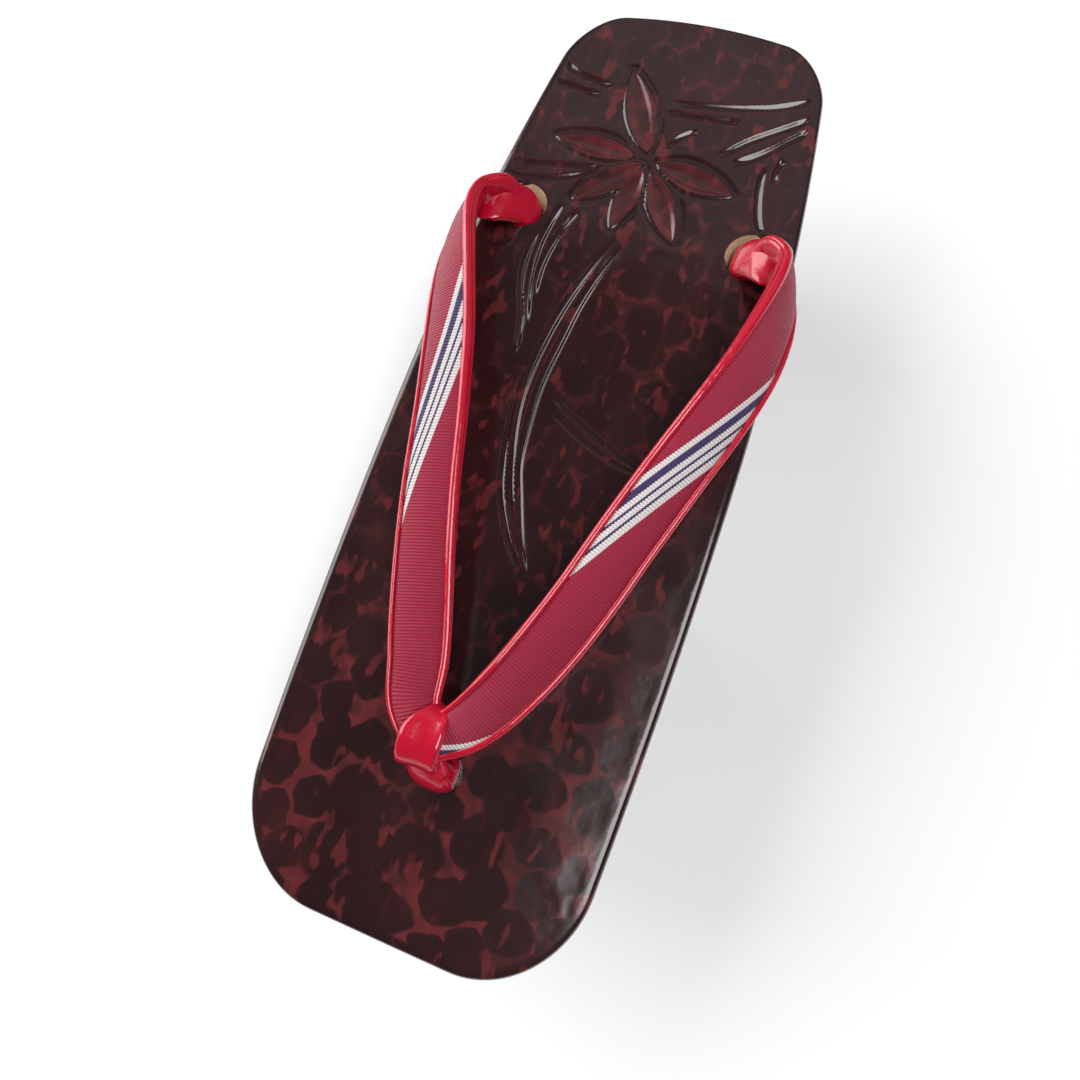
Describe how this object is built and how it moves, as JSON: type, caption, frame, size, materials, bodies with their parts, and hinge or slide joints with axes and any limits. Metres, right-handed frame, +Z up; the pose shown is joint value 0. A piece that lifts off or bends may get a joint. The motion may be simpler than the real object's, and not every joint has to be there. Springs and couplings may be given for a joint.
{
  "type": "geta sandal",
  "caption": "Geta sandal: a carved and lacquered wooden sole with raised teeth and a padded V strap held by a toe loop.",
  "frame": {"origin": "on the floor under the middle of the sole's length and width", "axes": "+X to the wearer's right, toe along -Y, heel along +Y, +Z up"},
  "size_m": [0.0853, 0.235, 0.0676],
  "materials": {
    "lacquered_wood": "gloss",
    "ribbon": "matte",
    "vinyl": "gloss",
    "cord": "matte"
  },
  "bodies": {
    "root": {"dai": "lacquered_wood", "hanao": "ribbon", "maetsubo": "vinyl", "front_knot": "cord", "rear_knot": "cord", "rear_cord_left": "cord", "rear_cord_right": "cord"}
  },
  "joints": []
}
